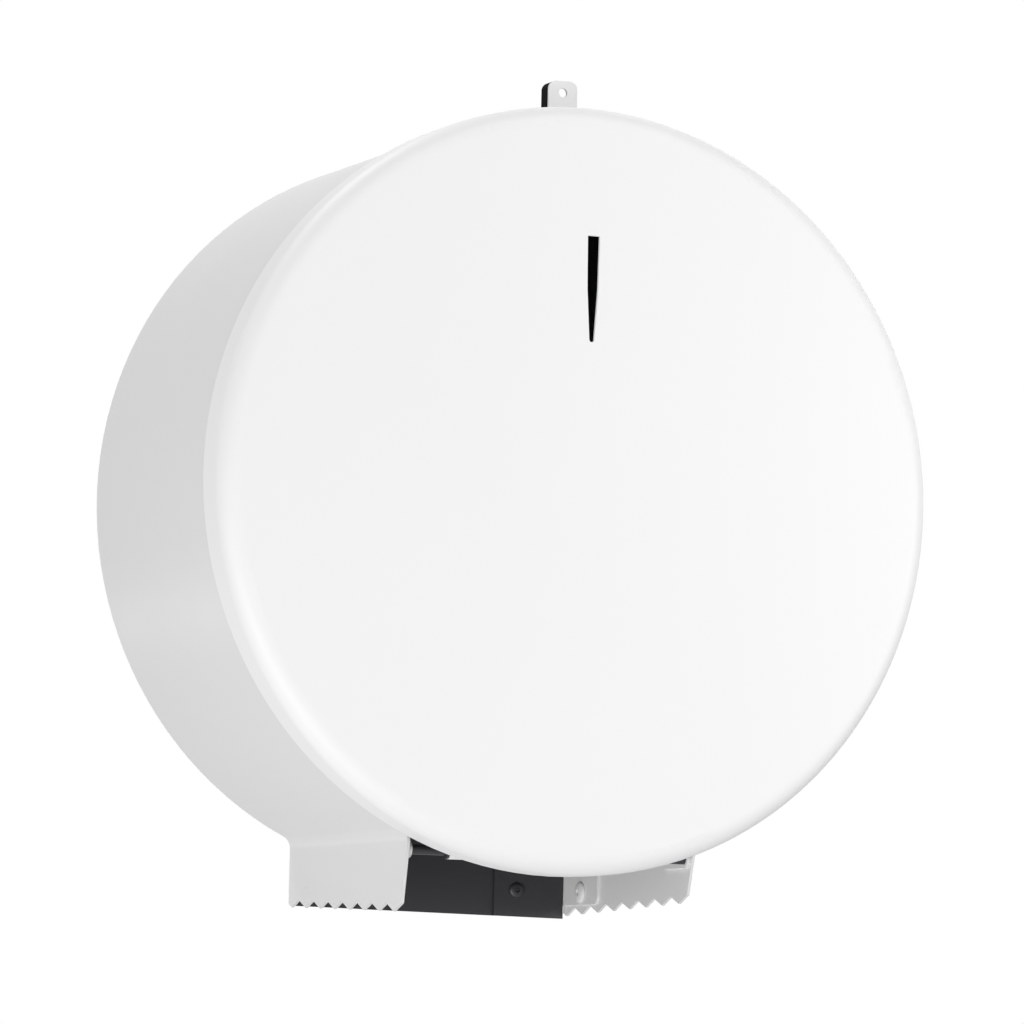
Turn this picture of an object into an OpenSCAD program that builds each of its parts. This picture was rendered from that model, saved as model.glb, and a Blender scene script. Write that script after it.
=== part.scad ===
// Jumbo toilet roll dispenser: a round sheet-steel drum that holds one large roll.
// X runs across the front, Y towards the wall and Z up. Sizes are in millimetres.
// The origin is on the drum's axis, at the wall. "Reach" is a distance out from the wall.

/* [Lid] */
// Outside diameter of the lid
lid_d = 270; // [240:1:330]
// Radius of the lid's rounded front edge
lid_edge_r = 7; // [4:0.5:10]
// Depth of the lid's rim, front face to rear edge
lid_rim = 18; // [15:0.5:22]
// Length by which the rim overlaps the drum
lid_overlap = 8; // [5:0.5:10]
// Gap between the rim and the drum all round
rim_gap = 1.0; // [0.8:0.1:1.5]
// Thickness of the lid and drum sheet
sheet_t = 1.0; // [0.8:0.1:1.2]

/* [Level slot] */
// Height of the slot's flat top above the axis
slot_top_z = 89; // [70:1:100]
// Length of the slot
slot_len = 37.5; // [25:0.5:45]
// Width of the slot at its top
slot_top_w = 4.6; // [3:0.05:6]
// Width of the slot at half its length
slot_mid_w = 4.1; // [2.5:0.05:5.5]
// Width of the slot at its lower end
slot_tip_w = 1.9; // [1:0.05:2.5]
// Distance of the slot to the right of the centre line
slot_x = 1.5; // [-6:0.5:6]

/* [Lock tab] */
// Width of the tab and of the lug behind it
tab_w = 11; // [9:0.5:16]
// Height of the tab above the lid
tab_h = 12.5; // [10:0.5:16]
// Length of the tongue that runs back from the rim to the tab
tongue_len = 9.5; // [4:0.5:14]
// Radius of the tab's upper corners
tab_corner_r = 3; // [1:0.5:4]
// Radius of the hole for a small padlock or a seal wire
lock_hole_r = 1.6; // [1:0.1:3]
// Distance of the hole below the top of the tab
lock_hole_drop = 4.2; // [3:0.1:6]
// Thickness of the lug, front to back
lug_t = 5.5; // [5:0.5:9]
// Thickness of the lug's front wall
lug_front_t = 1.2; // [1:0.1:2]
// Thickness of the lug's side and top walls
lug_side_t = 0.9; // [0.8:0.1:1.5]
// Distance of the lug's hollow below its hole
lug_floor_t = 0.5; // [0.2:0.1:1]
// Radius of the lug's hole, wider than the tab's so that a shackle finds it
lug_hole_r = 2.2; // [1.6:0.1:3]
// Gap between the tab and the lug
lug_gap = 0.3; // [0.2:0.1:0.6]

/* [Drum] */
// Reach of the closed case
case_depth = 135; // [120:1:170]
// Thickness of the back plate
plate_t = 1.2; // [1:0.1:1.5]
// Depth of the back plate's flange
flange_reach = 13; // [8:0.5:20]
// Outside radius of the bend between back plate and flange
flange_bend_r = 3; // [2:0.5:5]
// Gap between pieces that are seated in each other
seat_gap = 0.05; // [0.02:0.01:0.1]
// Distance between wall holes, across
wall_hole_dx = 120; // [90:1:140]
// Distance between wall holes, up
wall_hole_dz = 120; // [90:1:140]
// Radius of the wall holes
wall_hole_r = 3; // [2:0.1:4]

/* [Chute] */
// Outside width of the chute
chute_w = 110; // [90:1:135]
// Drop of the tooth tips below the lid's lower edge
chute_drop = 10.5; // [10:0.5:20]
// Number of teeth along each side
tooth_count = 8; // [5:1:12]
// Height of a tooth
tooth_h = 2.9; // [1.5:0.1:3.4]
// Reach of the first tooth's tip
first_tip_reach = 3; // [1:0.5:5]
// Rise of the tooth line from wall to lid on the right side, and its fall on the left
tooth_line_rise = 3.2; // [-4:0.2:4]
// Radius of the bend between drum and chute side
chute_bend_r = 5; // [1:0.5:6]
// Distance of the chute side's front edge behind the lid's rim, at its top
side_setback = 3; // [1:0.5:10]
// Further setback of the front edge at its lower end
side_slant = 4.5; // [3:0.5:8]
// Drop of the back plate's tail below the tooth tips
tail_drop = 1; // [0.5:0.5:6]
// Rise of the tail's lower edge from its right end to its left end
tail_skew = 1.6; // [0:0.2:2]

/* [Chute angles] */
// Length of the angles' legs along the chute sides
angle_side_leg = 33; // [26:0.5:38]
// Length of the angles' legs along the tail
angle_rear_leg = 27.5; // [20:0.5:32]
// Height of the angles
angle_h = 17.5; // [16:0.5:22]
// Thickness of the angles
angle_t = 1.0; // [0.8:0.1:1.5]
// Radius of the angles' free corners
angle_corner_r = 3; // [1:0.5:5]
// Height of the angle above the tooth tips
angle_lift = 4; // [4:0.5:5]
// Reach of the rivet through the chute side
side_rivet_reach = 18; // [9:0.5:22]
// Height of that rivet above the tooth tips
side_rivet_lift = 8.5; // [6:0.5:12]
// Distance of the tail rivet from the free end of the angle's rear leg
tail_rivet_inset = 7.5; // [5:0.5:13]
// Height of the tail rivet above the tooth tips
tail_rivet_lift = 9; // [5:0.5:12]

/* [Hinge] */
// Radius of the hinge rod
hinge_rod_r = 1.75; // [1.5:0.05:2.5]
// Distance of the hinge axis behind the lid face
hinge_setback = 25.5; // [24:0.5:30]
// Distance of the hinge axis above the lid's lower edge
hinge_lift = 8; // [6:0.5:10]
// Thickness of the hinge leaves
leaf_t = 1.2; // [1:0.1:1.5]
// Distance of a leaf's inner side from the centre line
leaf_x = 20; // [10:1:24]
// Width of a leaf
leaf_w = 18; // [12:1:20]
// Height of a leaf's pad on the lid
leaf_pad_h = 14; // [10:1:20]
// Thickness of the rod brackets
bracket_t = 1.5; // [1:0.1:2]
// Length of the rod brackets
bracket_len = 18; // [12:1:24]
// Radius of the clips that keep the lid in the middle of the rod
clip_r = 3; // [2.5:0.1:4]
// Thickness of a clip
clip_t = 0.8; // [0.6:0.1:1.2]
// Depth of a clip's groove in the rod
clip_groove = 0.5; // [0.3:0.1:0.7]
// Radial clearance of everything that turns
running_gap = 0.05; // [0.03:0.01:0.1]
// End gap beside everything that turns
end_gap = 0.3; // [0.2:0.05:0.5]

/* [Spindle] */
// Radius of the spindle's foot plate
foot_r = 35; // [30:1:45]
// Thickness of the foot plate
foot_t = 2; // [1.5:0.5:3]
// Radius of the circle of foot rivets
foot_rivet_pitch_r = 26; // [22:1:30]
// Number of foot rivets
foot_rivet_count = 3; // [3:1:6]
// Outside radius of the axle tube
axle_r = 8; // [6:0.5:10]
// Wall of the axle tube
axle_wall = 2; // [1.5:0.5:3]
// Length of the plug in the axle's front end
plug_len = 12; // [8:1:20]

/* [Roll hub] */
// Length of the hub, which holds the width of the roll
hub_len = 98; // [80:1:100]
// Outside radius of the hub
hub_r = 25; // [22:0.5:30]
// Radius of the hub's back disc
hub_disc_r = 45; // [38:1:55]
// Thickness of the hub's back disc
hub_disc_t = 2.5; // [2:0.5:4]
// Distance of the back disc in front of the hub's rear end
hub_disc_lift = 2; // [1:0.5:4]
// Wall of the hub
hub_wall = 2.4; // [1.8:0.1:3]
// Radius of the hub's rounded nose
hub_nose_r = 2.4; // [1:0.1:4]
// Number of ribs inside the hub
hub_rib_count = 6; // [4:1:8]
// Thickness of a rib
hub_rib_t = 2; // [1.5:0.5:3]
// Radius of the openings in the back disc
disc_hole_r = 5; // [3:0.5:7]
// Wall of the bushes
bush_wall = 3; // [2:0.5:4]
// Length of a bush
bush_len = 15; // [10:1:25]
// Thickness of a bush's flange
bush_flange_t = 1.5; // [1:0.5:2]
// Width of a bush's flange beyond its wall
bush_flange_w = 2; // [1:0.5:3]

/* [Fasteners] */
// Radius of the shank of the large rivets
rivet_r = 2; // [1.5:0.1:2.5]
// Radius of the head of the large rivets
rivet_head_r = 3.9; // [3:0.1:4.5]
// Height of the head of the large rivets
rivet_head_h = 1.4; // [1:0.1:2]
// Radius of the shank of the tail rivets
tail_rivet_r = 1.6; // [1.2:0.1:2]
// Radius of the head of the tail rivets
tail_rivet_head_r = 2.9; // [2.4:0.1:4]
// Radius of the lug screw
lug_screw_r = 1.5; // [1:0.1:2]
// Radius of the lug screw's head
lug_screw_head_r = 2.8; // [2:0.1:4]
// Height of the lug screw's head
lug_screw_head_h = 2; // [1.5:0.1:3]
// Radius of the end screw
end_screw_r = 2.5; // [2:0.1:3]
// Radius of the end screw's head
end_screw_head_r = 4.75; // [4:0.05:6]
// Height of the end screw's head
end_screw_head_h = 3.2; // [2.5:0.1:4]
// Length of the end screw's shank
end_screw_len = 12; // [8:1:16]
// Thickness of the washers
washer_t = 1.5; // [1:0.1:2]
// Width of the washers beyond the axle
washer_w = 5; // [4:0.5:8]

/* [Hidden] */
$fn = 96;
// Overcut that keeps the faces of a cut apart
over = 1;

white_coat = "whitesmoke";
black_coat = [0.13, 0.13, 0.14];
bright_steel = "silver";
pale_plastic = "gainsboro";
nylon = "ivory";

// Radii about the drum's axis
lid_r = lid_d / 2;
band_r = lid_r - sheet_t - rim_gap;
plate_r = band_r - sheet_t - seat_gap;
band_reach = case_depth - lid_rim + lid_overlap;

// Lock tab and lug
tab_top_z = lid_r + tab_h;
lock_hole_z = tab_top_z - lock_hole_drop;
tab_reach = case_depth - lid_rim - tongue_len;
lug_front = tab_reach - lug_gap;
lug_back = lug_front - lug_t;
lug_mid = (lug_front + lug_back) / 2;

// Chute
side_out_x = chute_w / 2;
side_in_x = side_out_x - sheet_t;
tip_z = -lid_r - chute_drop;
root_z = tip_z + tooth_h;
tail_z = tip_z - tail_drop;
bend_x = side_out_x + chute_bend_r;
// Rounded to a hundredth, so that the bend meets the drum and the side exactly
bend_z = -round(100 * sqrt(pow(band_r + chute_bend_r, 2) - pow(bend_x, 2))) / 100;
side_top_reach = case_depth - lid_rim - side_setback;
side_low_reach = side_top_reach - side_slant;
tooth_pitch = (side_low_reach - first_tip_reach) / (tooth_count - 0.5);

// Chute angles, whose rear legs lie behind the raised corners of the tail
angle_in_x = side_in_x - angle_t;
angle_low_z = tip_z + angle_lift;
angle_top_z = angle_low_z + angle_h;
leg_end_x = side_in_x - angle_rear_leg;
corner_in_x = leg_end_x - 2 * seat_gap;
corner_top_z = angle_top_z + 2 * seat_gap;
side_rivet_z = tip_z + side_rivet_lift;
tail_rivet_x = leg_end_x + tail_rivet_inset;
tail_rivet_z = tip_z + tail_rivet_lift;
tail_half_w = angle_in_x - 2 * seat_gap;

// Hinge
hinge_reach = case_depth - hinge_setback;
hinge_z = -lid_r + hinge_lift;
knuckle_in_r = hinge_rod_r + running_gap;
knuckle_r = knuckle_in_r + leaf_t;
leaf_top_z = hinge_z + knuckle_r;
lid_inside = case_depth - sheet_t;
// The leaf's arm drops from its pad to the knuckle ahead of the rounded edge of the lid
arm_start_reach = case_depth - lid_edge_r - leaf_t;
pad_low_z = leaf_top_z + lid_edge_r;
bracket_in_x = side_in_x - bracket_t;
clip_in_x = leaf_x + leaf_w + end_gap;
groove_r = hinge_rod_r - clip_groove;

// Spindle, from the back plate outwards
foot_front = plate_t + foot_t;
washer_front = foot_front + washer_t;
hub_rear = washer_front + end_gap;
hub_front = hub_rear + hub_len;
axle_front = hub_front + end_gap;
axle_in_r = axle_r - axle_wall;
bush_in_r = axle_r + running_gap;
bush_r = bush_in_r + bush_wall;
bush_flange_r = bush_r + bush_flange_w;
tube_in_r = bush_r + seat_gap;
tube_r = tube_in_r + hub_wall;
tube_rear = hub_rear + bush_flange_t;
tube_front = hub_front - bush_flange_t;
disc_rear = tube_rear + hub_disc_lift;
disc_hole_pitch_r = (hub_r + hub_disc_r) / 2;

// Drawing planes --------------------------------------------------------------------

// A front-view outline, [x, z], as thick as the stretch between two reaches
module front_drawn(reach_from, reach_to) {
    translate([0, -reach_from, 0])
        rotate([90, 0, 0])
            linear_extrude(reach_to - reach_from) children();
}

// A side-view outline, [y, z], as wide as the stretch between two x values
module side_drawn(x_from, x_to) {
    translate([x_from, 0, 0])
        rotate([90, 0, 90])
            linear_extrude(x_to - x_from) children();
}

// A half section, [radius, reach], turned about the drum's axis
module turned() {
    rotate([90, 0, 0])
        rotate_extrude() children();
}

// A round bar along the drum's axis direction
module bar_y(r, reach_from, reach_to, x = 0, z = 0) {
    translate([x, -reach_from, z])
        rotate([90, 0, 0])
            cylinder(r = r, h = reach_to - reach_from);
}

// A round bar across the drum at the hinge
module hinge_bar(r, x_from, x_to) {
    translate([x_from, -hinge_reach, hinge_z])
        rotate([0, 90, 0])
            cylinder(r = r, h = x_to - x_from);
}

module both_sides() {
    children();
    mirror([1, 0, 0]) children();
}

// A ring section for turned(), between two radii and two reaches
module ring_section(r_in, r_out, reach_from, reach_to) {
    translate([r_in, reach_from]) square([r_out - r_in, reach_to - reach_from]);
}

// A rectangle from one corner to the opposite one
module plate_outline(low, high) {
    translate(low) square(high - low);
}

// The same with four round corners
module rounded_outline(low, high, r) {
    plate_outline(low + [r, 0], high - [r, 0]);
    plate_outline(low + [0, r], high - [0, r]);
    for (x = [low.x + r, high.x - r])
        for (z = [low.y + r, high.y - r])
            translate([x, z]) circle(r);
}

// A rivet or pan-head screw along +Z: a domed head above z = 0 and a shank below it
module domed_fastener(shank_r, shank_len, head_r, head_h) {
    dome_r = (head_r * head_r + head_h * head_h) / (2 * head_h);
    rotate_extrude()
        intersection() {
            translate([0, head_h - dome_r]) circle(dome_r);
            square([head_r, head_h]);
        }
    translate([0, 0, -shank_len]) cylinder(r = shank_r, h = shank_len);
}

// Points a fastener's head into the room
module facing_room(x, reach, z) {
    translate([x, -reach, z])
        rotate([90, 0, 0]) children();
}

// Lid -------------------------------------------------------------------------------

// Half section of a full disc with one rounded front edge
module dish_section(r, edge_r, rear, front) {
    ring_section(0, r - edge_r, rear, front);
    ring_section(0, r, rear, front - edge_r);
    translate([r - edge_r, front - edge_r]) circle(edge_r);
}

module lid_section() {
    difference() {
        dish_section(lid_r, lid_edge_r, case_depth - lid_rim, case_depth);
        dish_section(lid_r - sheet_t, lid_edge_r - sheet_t, case_depth - lid_rim - over, lid_inside);
    }
}

// The level slot: straight above its middle, tapered below it, round at its lower end
module slot_outline() {
    tip_r = slot_tip_w / 2;
    tip_centre_z = slot_top_z - slot_len + tip_r;
    translate([slot_x, 0]) {
        polygon([
            [-slot_top_w / 2, slot_top_z], [slot_top_w / 2, slot_top_z],
            [slot_mid_w / 2, slot_top_z - slot_len / 2], [tip_r, tip_centre_z],
            [-tip_r, tip_centre_z], [-slot_mid_w / 2, slot_top_z - slot_len / 2]
        ]);
        translate([0, tip_centre_z]) circle(tip_r);
    }
}

// Tab shape shared by the lid's tab and the lug behind it, and smaller for the lug's hollow
module tab_outline(foot_z, inset = 0) {
    half_w = tab_w / 2 - inset;
    corner_r = tab_corner_r - inset;
    corner_z = tab_top_z - tab_corner_r;
    plate_outline([-half_w, foot_z], [half_w, corner_z]);
    plate_outline([corner_r - half_w, foot_z], [half_w - corner_r, tab_top_z - inset]);
    for (side = [-1, 1])
        translate([side * (half_w - corner_r), corner_z]) circle(corner_r);
}

module lid_shell() {
    color(white_coat) {
        difference() {
            turned() lid_section();
            front_drawn(lid_inside - over, case_depth + over) slot_outline();
        }
        intersection() {
            turned() ring_section(lid_r - sheet_t, lid_r, tab_reach, tab_reach + tongue_len + over);
            front_drawn(0, case_depth) plate_outline([-tab_w / 2, 0], [tab_w / 2, lid_r]);
        }
        difference() {
            front_drawn(tab_reach, tab_reach + sheet_t) tab_outline(lid_r - sheet_t / 2);
            bar_y(lock_hole_r, tab_reach - over, tab_reach + sheet_t + over, 0, lock_hole_z);
        }
    }
}

// Hinge leaf on the right: pad on the lid's inner face, arm and rolled knuckle
module hinge_leaf() {
    y_pad = -lid_inside;
    y_arm = -arm_start_reach;
    color(white_coat)
        difference() {
            side_drawn(leaf_x, leaf_x + leaf_w) {
                polygon([
                    [y_pad, pad_low_z + leaf_pad_h], [y_pad, pad_low_z],
                    [y_arm, leaf_top_z - leaf_t], [-hinge_reach, leaf_top_z - leaf_t],
                    [-hinge_reach, leaf_top_z], [y_arm + leaf_t / 2, leaf_top_z],
                    [y_pad + leaf_t, pad_low_z + leaf_t / 2], [y_pad + leaf_t, pad_low_z + leaf_pad_h]
                ]);
                translate([-hinge_reach, hinge_z]) circle(knuckle_r);
            }
            hinge_bar(knuckle_in_r, leaf_x - over, leaf_x + leaf_w + over);
        }
}

module hinge_leaf_right() {
    hinge_leaf();
}

module hinge_leaf_left() {
    mirror([1, 0, 0]) hinge_leaf();
}

// Drum ------------------------------------------------------------------------------

// Bend between the drum and the right chute side, seen from the front
module bend_outline() {
    centre = [bend_x, bend_z];
    translate(centre)
        intersection() {
            difference() {
                circle(chute_bend_r + sheet_t);
                circle(chute_bend_r);
            }
            polygon([[0, 0], -centre, [-bend_x, 0]]);
        }
}

// The round part of the strip, open over the chute
module drum_outline() {
    difference() {
        circle(band_r);
        circle(band_r - sheet_t);
        polygon([[0, 0], 2 * [bend_x, bend_z], 2 * [-bend_x, bend_z]]);
    }
}

// Side view of a chute side: teeth below and a slanted front edge, which ends half a tooth past the last tip
module side_outline(rise) {
    slope = rise / side_low_reach;
    root_reach = tooth_pitch / 2;
    top_z = bend_z + band_r;
    rear_z = tip_z + tooth_h * first_tip_reach / root_reach;
    polygon(concat(
        [[0, top_z], [0, rear_z]],
        [for (i = [0 : tooth_count - 1], end = [0, 1])
            let (reach = first_tip_reach + i * tooth_pitch - (1 - end) * root_reach)
                if (reach > 0) [-reach, (end == 0 ? root_z : tip_z) + slope * reach]],
        [[-side_low_reach, root_z + rise], [-side_top_reach, bend_z], [-side_top_reach, top_z]]
    ));
}

// Right end of the strip: the bend and the chute's side, cut along the side outline
module chute_side(rise) {
    intersection() {
        front_drawn(0, band_reach) {
            bend_outline();
            plate_outline([side_in_x, tip_z - abs(rise)], [side_out_x, bend_z]);
        }
        side_drawn(0, lid_r) side_outline(rise);
    }
}

// One strip of sheet: round the drum, with both ends bent down as the chute's sides
module case_band() {
    color(white_coat)
        difference() {
            union() {
                front_drawn(0, band_reach) drum_outline();
                chute_side(tooth_line_rise);
                mirror([1, 0, 0]) chute_side(-tooth_line_rise);
            }
            translate([0, -lug_mid, band_r - 2 * sheet_t])
                cylinder(r = lug_screw_r + seat_gap, h = 3 * sheet_t);
            both_sides()
                translate([angle_in_x, -side_rivet_reach, side_rivet_z])
                    rotate([0, 90, 0])
                        cylinder(r = rivet_r + seat_gap, h = 3 * sheet_t);
        }
}

// Half section of the back plate with its flange bent towards the room
module plate_section() {
    in_r = plate_r - plate_t;
    bend_in_r = flange_bend_r - plate_t;
    difference() {
        union() {
            ring_section(0, plate_r - flange_bend_r, 0, flange_reach);
            ring_section(0, plate_r, flange_bend_r, flange_reach);
            translate([plate_r - flange_bend_r, flange_bend_r]) circle(flange_bend_r);
        }
        ring_section(0, in_r - bend_in_r, plate_t, flange_reach + over);
        ring_section(0, in_r, flange_bend_r, flange_reach + over);
        translate([plate_r - flange_bend_r, flange_bend_r]) circle(bend_in_r);
    }
}

module back_plate() {
    raised_front = angle_t + plate_t;
    gap_half_w = bend_x + sheet_t;
    tail_top_z = bend_z + band_r / 4;
    color(black_coat)
        difference() {
            union() {
                difference() {
                    turned() plate_section();
                    // The flange is left out over the chute
                    front_drawn(plate_t, flange_reach + over)
                        plate_outline([-gap_half_w, -lid_r], [gap_half_w, tail_top_z]);
                }
                front_drawn(0, plate_t) plate_outline([-tail_half_w, tail_z], [tail_half_w, tail_top_z]);
                both_sides()
                    front_drawn(0, raised_front)
                        plate_outline(
                            [corner_in_x - plate_t, tail_z], [tail_half_w, corner_top_z + plate_t]);
            }
            both_sides()
                front_drawn(-over, angle_t)
                    plate_outline([corner_in_x, tail_z - over], [side_out_x, corner_top_z]);
            // The tail's lower edge is cut a little out of level
            front_drawn(-over, raised_front + over)
                polygon([
                    [-side_out_x, tail_z - over], [side_out_x, tail_z - over],
                    [side_out_x, tail_z], [-side_out_x, tail_z + tail_skew]
                ]);
            for (x = [-1, 1], z = [-1, 1])
                bar_y(wall_hole_r, -over, plate_t + over, x * wall_hole_dx / 2, z * wall_hole_dz / 2);
            at_foot_rivets() cylinder(r = rivet_r + seat_gap, h = 4 * (plate_t + foot_t), center = true);
            both_sides()
                bar_y(tail_rivet_r + seat_gap, 0, raised_front + over, tail_rivet_x, tail_rivet_z);
        }
}

// Chute angle on the right: side leg on the chute side, rear leg behind the tail
module chute_angle() {
    color(white_coat)
        difference() {
            union() {
                side_drawn(angle_in_x, side_in_x)
                    difference() {
                        rounded_outline(
                            [-angle_side_leg, angle_low_z],
                            [angle_corner_r, angle_top_z],
                            angle_corner_r);
                        plate_outline([0, angle_low_z - over], [angle_side_leg, angle_top_z + over]);
                    }
                front_drawn(0, angle_t)
                    plate_outline([leg_end_x, angle_low_z], [side_in_x, angle_top_z]);
            }
            translate([angle_in_x - over, -side_rivet_reach, side_rivet_z])
                rotate([0, 90, 0])
                    cylinder(r = rivet_r + seat_gap, h = angle_t + 2 * over);
            bar_y(tail_rivet_r + seat_gap, -over, angle_t + over, tail_rivet_x, tail_rivet_z);
        }
}

module chute_angle_right() {
    chute_angle();
}

module chute_angle_left() {
    mirror([1, 0, 0]) chute_angle();
}

// Rivets through the chute sides, with their heads inside the chute
module side_rivets() {
    color(bright_steel)
        both_sides()
            translate([angle_in_x, -side_rivet_reach, side_rivet_z])
                rotate([0, -90, 0])
                    domed_fastener(rivet_r, angle_t + sheet_t, rivet_head_r, rivet_head_h);
}

// Rivets through the tail and the angles' rear legs
module tail_rivets() {
    color(black_coat)
        both_sides()
            facing_room(tail_rivet_x, angle_t + plate_t, tail_rivet_z)
                domed_fastener(tail_rivet_r, angle_t + plate_t, tail_rivet_head_r, rivet_head_h);
}

// Hinge -----------------------------------------------------------------------------

// Plate on the inside of the right chute side that carries one end of the rod
module hinge_bracket() {
    top_z = bend_z - seat_gap;
    color(white_coat)
        difference() {
            side_drawn(bracket_in_x, side_in_x) {
                plate_outline([-hinge_reach, hinge_z - knuckle_r], [-hinge_reach + bracket_len, top_z]);
                translate([-hinge_reach, hinge_z]) circle(knuckle_r);
            }
            hinge_bar(hinge_rod_r + running_gap, bracket_in_x - over, side_in_x + over);
        }
}

module hinge_bracket_right() {
    hinge_bracket();
}

module hinge_bracket_left() {
    mirror([1, 0, 0]) hinge_bracket();
}

// The rod ends against the chute sides, so nothing shows outside
module hinge_rod() {
    color(black_coat)
        difference() {
            hinge_bar(hinge_rod_r, -side_in_x + end_gap, side_in_x - end_gap);
            both_sides()
                difference() {
                    hinge_bar(clip_r, clip_in_x - seat_gap, clip_in_x + clip_t + seat_gap);
                    hinge_bar(groove_r, clip_in_x - over, clip_in_x + clip_t + over);
                }
        }
}

// Open clips in the rod's grooves that keep the lid in the middle of the rod
module rod_clips() {
    color(black_coat)
        both_sides()
            difference() {
                hinge_bar(clip_r, clip_in_x, clip_in_x + clip_t);
                hinge_bar(groove_r + running_gap, clip_in_x - over, clip_in_x + clip_t + over);
                translate([clip_in_x - over, -hinge_reach, hinge_z - groove_r])
                    cube([clip_t + 2 * over, clip_r + over, 2 * groove_r]);
            }
}

// Lock ------------------------------------------------------------------------------

// Moulded lug, which stands on the drum and is hollow behind its front wall
module lock_lug() {
    hollow_low_z = lock_hole_z - lug_hole_r - lug_floor_t;
    color(black_coat)
        difference() {
            front_drawn(lug_back, lug_front) tab_outline(band_r - sheet_t);
            front_drawn(lug_back - over, lug_front - lug_front_t) tab_outline(hollow_low_z, lug_side_t);
            bar_y(lug_hole_r, lug_back - over, lug_front + over, 0, lock_hole_z);
            bar_y(band_r + seat_gap, lug_back - over, lug_front + over);
            translate([0, -lug_mid, band_r - over])
                cylinder(r = lug_screw_r + seat_gap, h = lug_screw_depth() + over);
        }
}

// Depth of the screw's hole, which stops short of the lug's hollow
function lug_screw_depth() = (lock_hole_z - lug_hole_r - band_r) * 0.75;

module lug_screw() {
    shank_len = sheet_t + lug_screw_depth() - end_gap;
    color(bright_steel)
        translate([0, -lug_mid, band_r - sheet_t - seat_gap])
            rotate([180, 0, 0])
                domed_fastener(lug_screw_r, shank_len, lug_screw_head_r, lug_screw_head_h);
}

// Spindle and hub -------------------------------------------------------------------

// Places one child at each foot rivet, with +Z facing the room
module at_foot_rivets() {
    for (i = [0 : foot_rivet_count - 1]) {
        angle = 90 + i * 360 / foot_rivet_count;
        x = foot_rivet_pitch_r * cos(angle);
        z = foot_rivet_pitch_r * sin(angle);
        facing_room(x, foot_front, z) children();
    }
}

module spindle_foot() {
    color(bright_steel)
        difference() {
            bar_y(foot_r, plate_t, foot_front);
            bar_y(axle_r + seat_gap, plate_t - over, foot_front + over);
            at_foot_rivets() cylinder(r = rivet_r + seat_gap, h = 4 * foot_t, center = true);
        }
}

module foot_rivets() {
    color(bright_steel)
        at_foot_rivets() domed_fastener(rivet_r, foot_front, rivet_head_r, rivet_head_h);
}

module spindle_axle() {
    color(bright_steel)
        turned() ring_section(axle_in_r, axle_r, plate_t, axle_front);
}

module axle_plug() {
    color(bright_steel)
        turned()
            ring_section(end_screw_r + seat_gap, axle_in_r - seat_gap, axle_front - plug_len, axle_front);
}

module thrust_washer() {
    color(nylon)
        turned() ring_section(axle_r + seat_gap, axle_r + washer_w, foot_front, washer_front);
}

module rear_bush() {
    color(nylon)
        turned() {
            ring_section(bush_in_r, bush_flange_r, hub_rear, tube_rear);
            ring_section(bush_in_r, bush_r, hub_rear, hub_rear + bush_len);
        }
}

module front_bush() {
    color(nylon)
        turned() {
            ring_section(bush_in_r, bush_flange_r, tube_front, hub_front);
            ring_section(bush_in_r, bush_r, hub_front - bush_len, hub_front);
        }
}

// Moulded hub: inner tube, outer sleeve with a round nose, ribs and a back disc
module roll_hub() {
    rib_x = tube_r - hub_wall / 2;
    rib_w = hub_r - hub_wall / 2 - rib_x;
    rib_front = tube_front - hub_wall;
    rib_len = rib_front - disc_rear - hub_disc_t / 2;
    color(pale_plastic) {
        difference() {
            turned() {
                ring_section(tube_in_r, tube_r, tube_rear, tube_front);
                ring_section(tube_in_r, hub_disc_r, disc_rear, disc_rear + hub_disc_t);
                ring_section(hub_r - hub_wall, hub_r, disc_rear, tube_front - hub_nose_r);
                translate([hub_r - hub_nose_r, tube_front - hub_nose_r])
                    intersection() {
                        circle(hub_nose_r);
                        square(hub_nose_r);
                    }
            }
            for (i = [0 : hub_rib_count - 1]) {
                angle = i * 360 / hub_rib_count;
                bar_y(disc_hole_r, disc_rear - over, disc_rear + hub_disc_t + over,
                    disc_hole_pitch_r * cos(angle), disc_hole_pitch_r * sin(angle));
            }
        }
        for (i = [0 : hub_rib_count - 1])
            rotate([0, (i + 0.5) * 360 / hub_rib_count, 0])
                translate([rib_x, -rib_front, -hub_rib_t / 2])
                    cube([rib_w, rib_len, hub_rib_t]);
    }
}

module end_washer() {
    color(bright_steel)
        turned()
            ring_section(end_screw_r + seat_gap, axle_r + washer_w, axle_front, axle_front + washer_t);
}

module end_screw() {
    socket_r = end_screw_head_r / 2;
    color(bright_steel)
        difference() {
            facing_room(0, axle_front + washer_t, 0)
                domed_fastener(end_screw_r, end_screw_len, end_screw_head_r, end_screw_head_h);
            facing_room(0, axle_front + washer_t + end_screw_head_h / 2, 0)
                cylinder(r = socket_r, h = end_screw_head_h, $fn = 6);
        }
}

lid_shell();
hinge_leaf_left();
hinge_leaf_right();
case_band();
back_plate();
chute_angle_left();
chute_angle_right();
side_rivets();
tail_rivets();
hinge_bracket_left();
hinge_bracket_right();
hinge_rod();
rod_clips();
lock_lug();
lug_screw();
spindle_foot();
foot_rivets();
spindle_axle();
axle_plug();
thrust_washer();
rear_bush();
front_bush();
roll_hub();
end_washer();
end_screw();
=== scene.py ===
"""Finishes, small fasteners and stage of a jumbo toilet roll dispenser.

The file is laid out as an add-on and is run as a script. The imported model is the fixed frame.
Lengths are in metres, and X, Y and Z are the frame's own axes.
"""

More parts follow.
